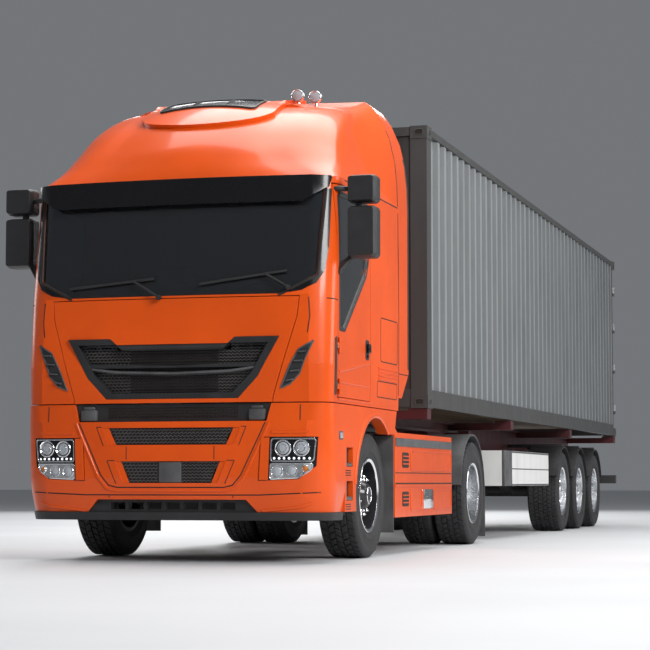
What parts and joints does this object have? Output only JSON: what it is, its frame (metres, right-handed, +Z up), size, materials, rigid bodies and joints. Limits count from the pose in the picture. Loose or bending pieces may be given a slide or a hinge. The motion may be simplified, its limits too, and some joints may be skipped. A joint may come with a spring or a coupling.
{
  "type": "articulated lorry with container semi-trailer",
  "caption": "High-roof cab-over tractor unit, hinged at its fifth wheel to a three-axle semi-trailer that carries a corrugated container with rear doors.",
  "frame": {"origin": "on the ground under the middle of the lorry's length and width", "axes": "+X forward, +Y to the vehicle's left, +Z up"},
  "size_m": [15.645, 3.07, 3.881],
  "materials": {
    "black_plastic": "satin",
    "box_white": "satin",
    "cab_trim": "matte",
    "cast_parts": "matte",
    "chassis_black": "satin",
    "container_dark": "satin",
    "container_grey": "satin",
    "dark_glass": "gloss",
    "floor_wood": "matte",
    "lamp_glass": "gloss",
    "orange_paint": "gloss",
    "seat_cloth": "matte",
    "tank_metal": "brushed",
    "trailer_red": "satin",
    "tyre_rubber": "matte",
    "wheel_steel": "satin"
  },
  "bodies": {
    "tractor": {"chassis_frame": "chassis_black", "front_axle": "chassis_black", "drive_axle": "chassis_black", "engine": "cast_parts", "fifth_wheel": "cast_parts", "tanks": "tank_metal", "mudguards": "black_plastic", "side_skirts": "orange_paint", "cab_shell": "orange_paint", "cab_roof": "orange_paint", "cab_floor": "cab_trim", "cab_front": "orange_paint", "cab_deflectors": "orange_paint", "windscreen": "dark_glass", "grille": "black_plastic", "sun_visor": "black_plastic", "bumper": "orange_paint", "bumper_trim": "black_plastic", "headlamps": "lamp_glass", "side_panels": "orange_paint", "dashboard": "cab_trim", "seats": "seat_cloth"},
    "trailer": {"trailer_frame": "trailer_red", "trailer_axles": "chassis_black", "trailer_mudguards": "black_plastic", "toolboxes": "box_white", "rear_bumper": "chassis_black", "container_frame": "container_dark", "container_panels": "container_grey", "container_floor": "floor_wood"},
    "cab_door_left": {"door_left": "orange_paint", "door_glass_left": "dark_glass", "mirrors_left": "black_plastic"},
    "cab_door_right": {"door_right": "orange_paint", "door_glass_right": "dark_glass", "mirrors_right": "black_plastic"},
    "steering_left": {"knuckle_left": "cast_parts"},
    "steering_right": {"knuckle_right": "cast_parts"},
    "front_wheel_left": {"front_tyre_left": "tyre_rubber", "front_rim_left": "wheel_steel"},
    "drive_wheels_left": {"drive_tyres_left": "tyre_rubber", "drive_rims_left": "wheel_steel"},
    "front_wheel_right": {"front_tyre_right": "tyre_rubber", "front_rim_right": "wheel_steel"},
    "drive_wheels_right": {"drive_tyres_right": "tyre_rubber", "drive_rims_right": "wheel_steel"},
    "trailer_wheel_1_left": {"trailer_tyre_1_left": "tyre_rubber", "trailer_rim_1_left": "wheel_steel"},
    "trailer_wheel_1_right": {"trailer_tyre_1_right": "tyre_rubber", "trailer_rim_1_right": "wheel_steel"},
    "trailer_wheel_2_left": {"trailer_tyre_2_left": "tyre_rubber", "trailer_rim_2_left": "wheel_steel"},
    "trailer_wheel_2_right": {"trailer_tyre_2_right": "tyre_rubber", "trailer_rim_2_right": "wheel_steel"},
    "trailer_wheel_3_left": {"trailer_tyre_3_left": "tyre_rubber", "trailer_rim_3_left": "wheel_steel"},
    "trailer_wheel_3_right": {"trailer_tyre_3_right": "tyre_rubber", "trailer_rim_3_right": "wheel_steel"},
    "container_door_left": {"container_door_left": "container_grey"},
    "container_door_right": {"container_door_right": "container_grey"}
  },
  "joints": [
    {"name": "cab_door_left", "type": "hinge", "parent": "tractor", "child": "cab_door_left", "pos_m": [7.5135, 1.257, 2], "axis": [0, 0, -1], "range_deg": [0, 75]},
    {"name": "cab_door_right", "type": "hinge", "parent": "tractor", "child": "cab_door_right", "pos_m": [7.5135, -1.257, 2], "axis": [0, 0, 1], "range_deg": [0, 75]},
    {"name": "fifth_wheel_yaw", "type": "hinge", "parent": "tractor", "child": "trailer", "pos_m": [3.1085, 0, 1.15], "axis": [0, 0, 1], "range_deg": [-90, 90]},
    {"name": "steer_left", "type": "hinge", "parent": "tractor", "child": "steering_left", "pos_m": [6.3585, 0.93, 0.505], "axis": [0, 0, 1], "range_deg": [-40, 40]},
    {"name": "steer_right", "type": "hinge", "parent": "tractor", "child": "steering_right", "pos_m": [6.3585, -0.93, 0.505], "axis": [0, 0, 1], "range_deg": [-40, 40]},
    {"name": "front_wheel_left", "type": "hinge", "parent": "steering_left", "child": "front_wheel_left", "pos_m": [6.3585, 1.035, 0.505], "axis": [0, 1, 0], "continuous": true},
    {"name": "drive_wheels_left", "type": "hinge", "parent": "tractor", "child": "drive_wheels_left", "pos_m": [2.5585, 0.92, 0.505], "axis": [0, 1, 0], "continuous": true},
    {"name": "front_wheel_right", "type": "hinge", "parent": "steering_right", "child": "front_wheel_right", "pos_m": [6.3585, -1.035, 0.505], "axis": [0, 1, 0], "continuous": true},
    {"name": "drive_wheels_right", "type": "hinge", "parent": "tractor", "child": "drive_wheels_right", "pos_m": [2.5585, -0.92, 0.505], "axis": [0, 1, 0], "continuous": true},
    {"name": "trailer_wheel_1_left", "type": "hinge", "parent": "trailer", "child": "trailer_wheel_1_left", "pos_m": [-3.0815, 1.02, 0.5], "axis": [0, 1, 0], "continuous": true},
    {"name": "trailer_wheel_1_right", "type": "hinge", "parent": "trailer", "child": "trailer_wheel_1_right", "pos_m": [-3.0815, -1.02, 0.5], "axis": [0, 1, 0], "continuous": true},
    {"name": "trailer_wheel_2_left", "type": "hinge", "parent": "trailer", "child": "trailer_wheel_2_left", "pos_m": [-4.3915, 1.02, 0.5], "axis": [0, 1, 0], "continuous": true},
    {"name": "trailer_wheel_2_right", "type": "hinge", "parent": "trailer", "child": "trailer_wheel_2_right", "pos_m": [-4.3915, -1.02, 0.5], "axis": [0, 1, 0], "continuous": true},
    {"name": "trailer_wheel_3_left", "type": "hinge", "parent": "trailer", "child": "trailer_wheel_3_left", "pos_m": [-5.7015, 1.02, 0.5], "axis": [0, 1, 0], "continuous": true},
    {"name": "trailer_wheel_3_right", "type": "hinge", "parent": "trailer", "child": "trailer_wheel_3_right", "pos_m": [-5.7015, -1.02, 0.5], "axis": [0, 1, 0], "continuous": true},
    {"name": "container_door_left", "type": "hinge", "parent": "trailer", "child": "container_door_left", "pos_m": [-7.7585, 1.206, 2.6], "axis": [0, 0, -1], "range_deg": [0, 270]},
    {"name": "container_door_right", "type": "hinge", "parent": "trailer", "child": "container_door_right", "pos_m": [-7.7585, -1.206, 2.6], "axis": [0, 0, 1], "range_deg": [0, 270]}
  ],
  "couplings": [
    {"joint": "steer_right", "follows": "steer_left", "ratio": 1}
  ]
}
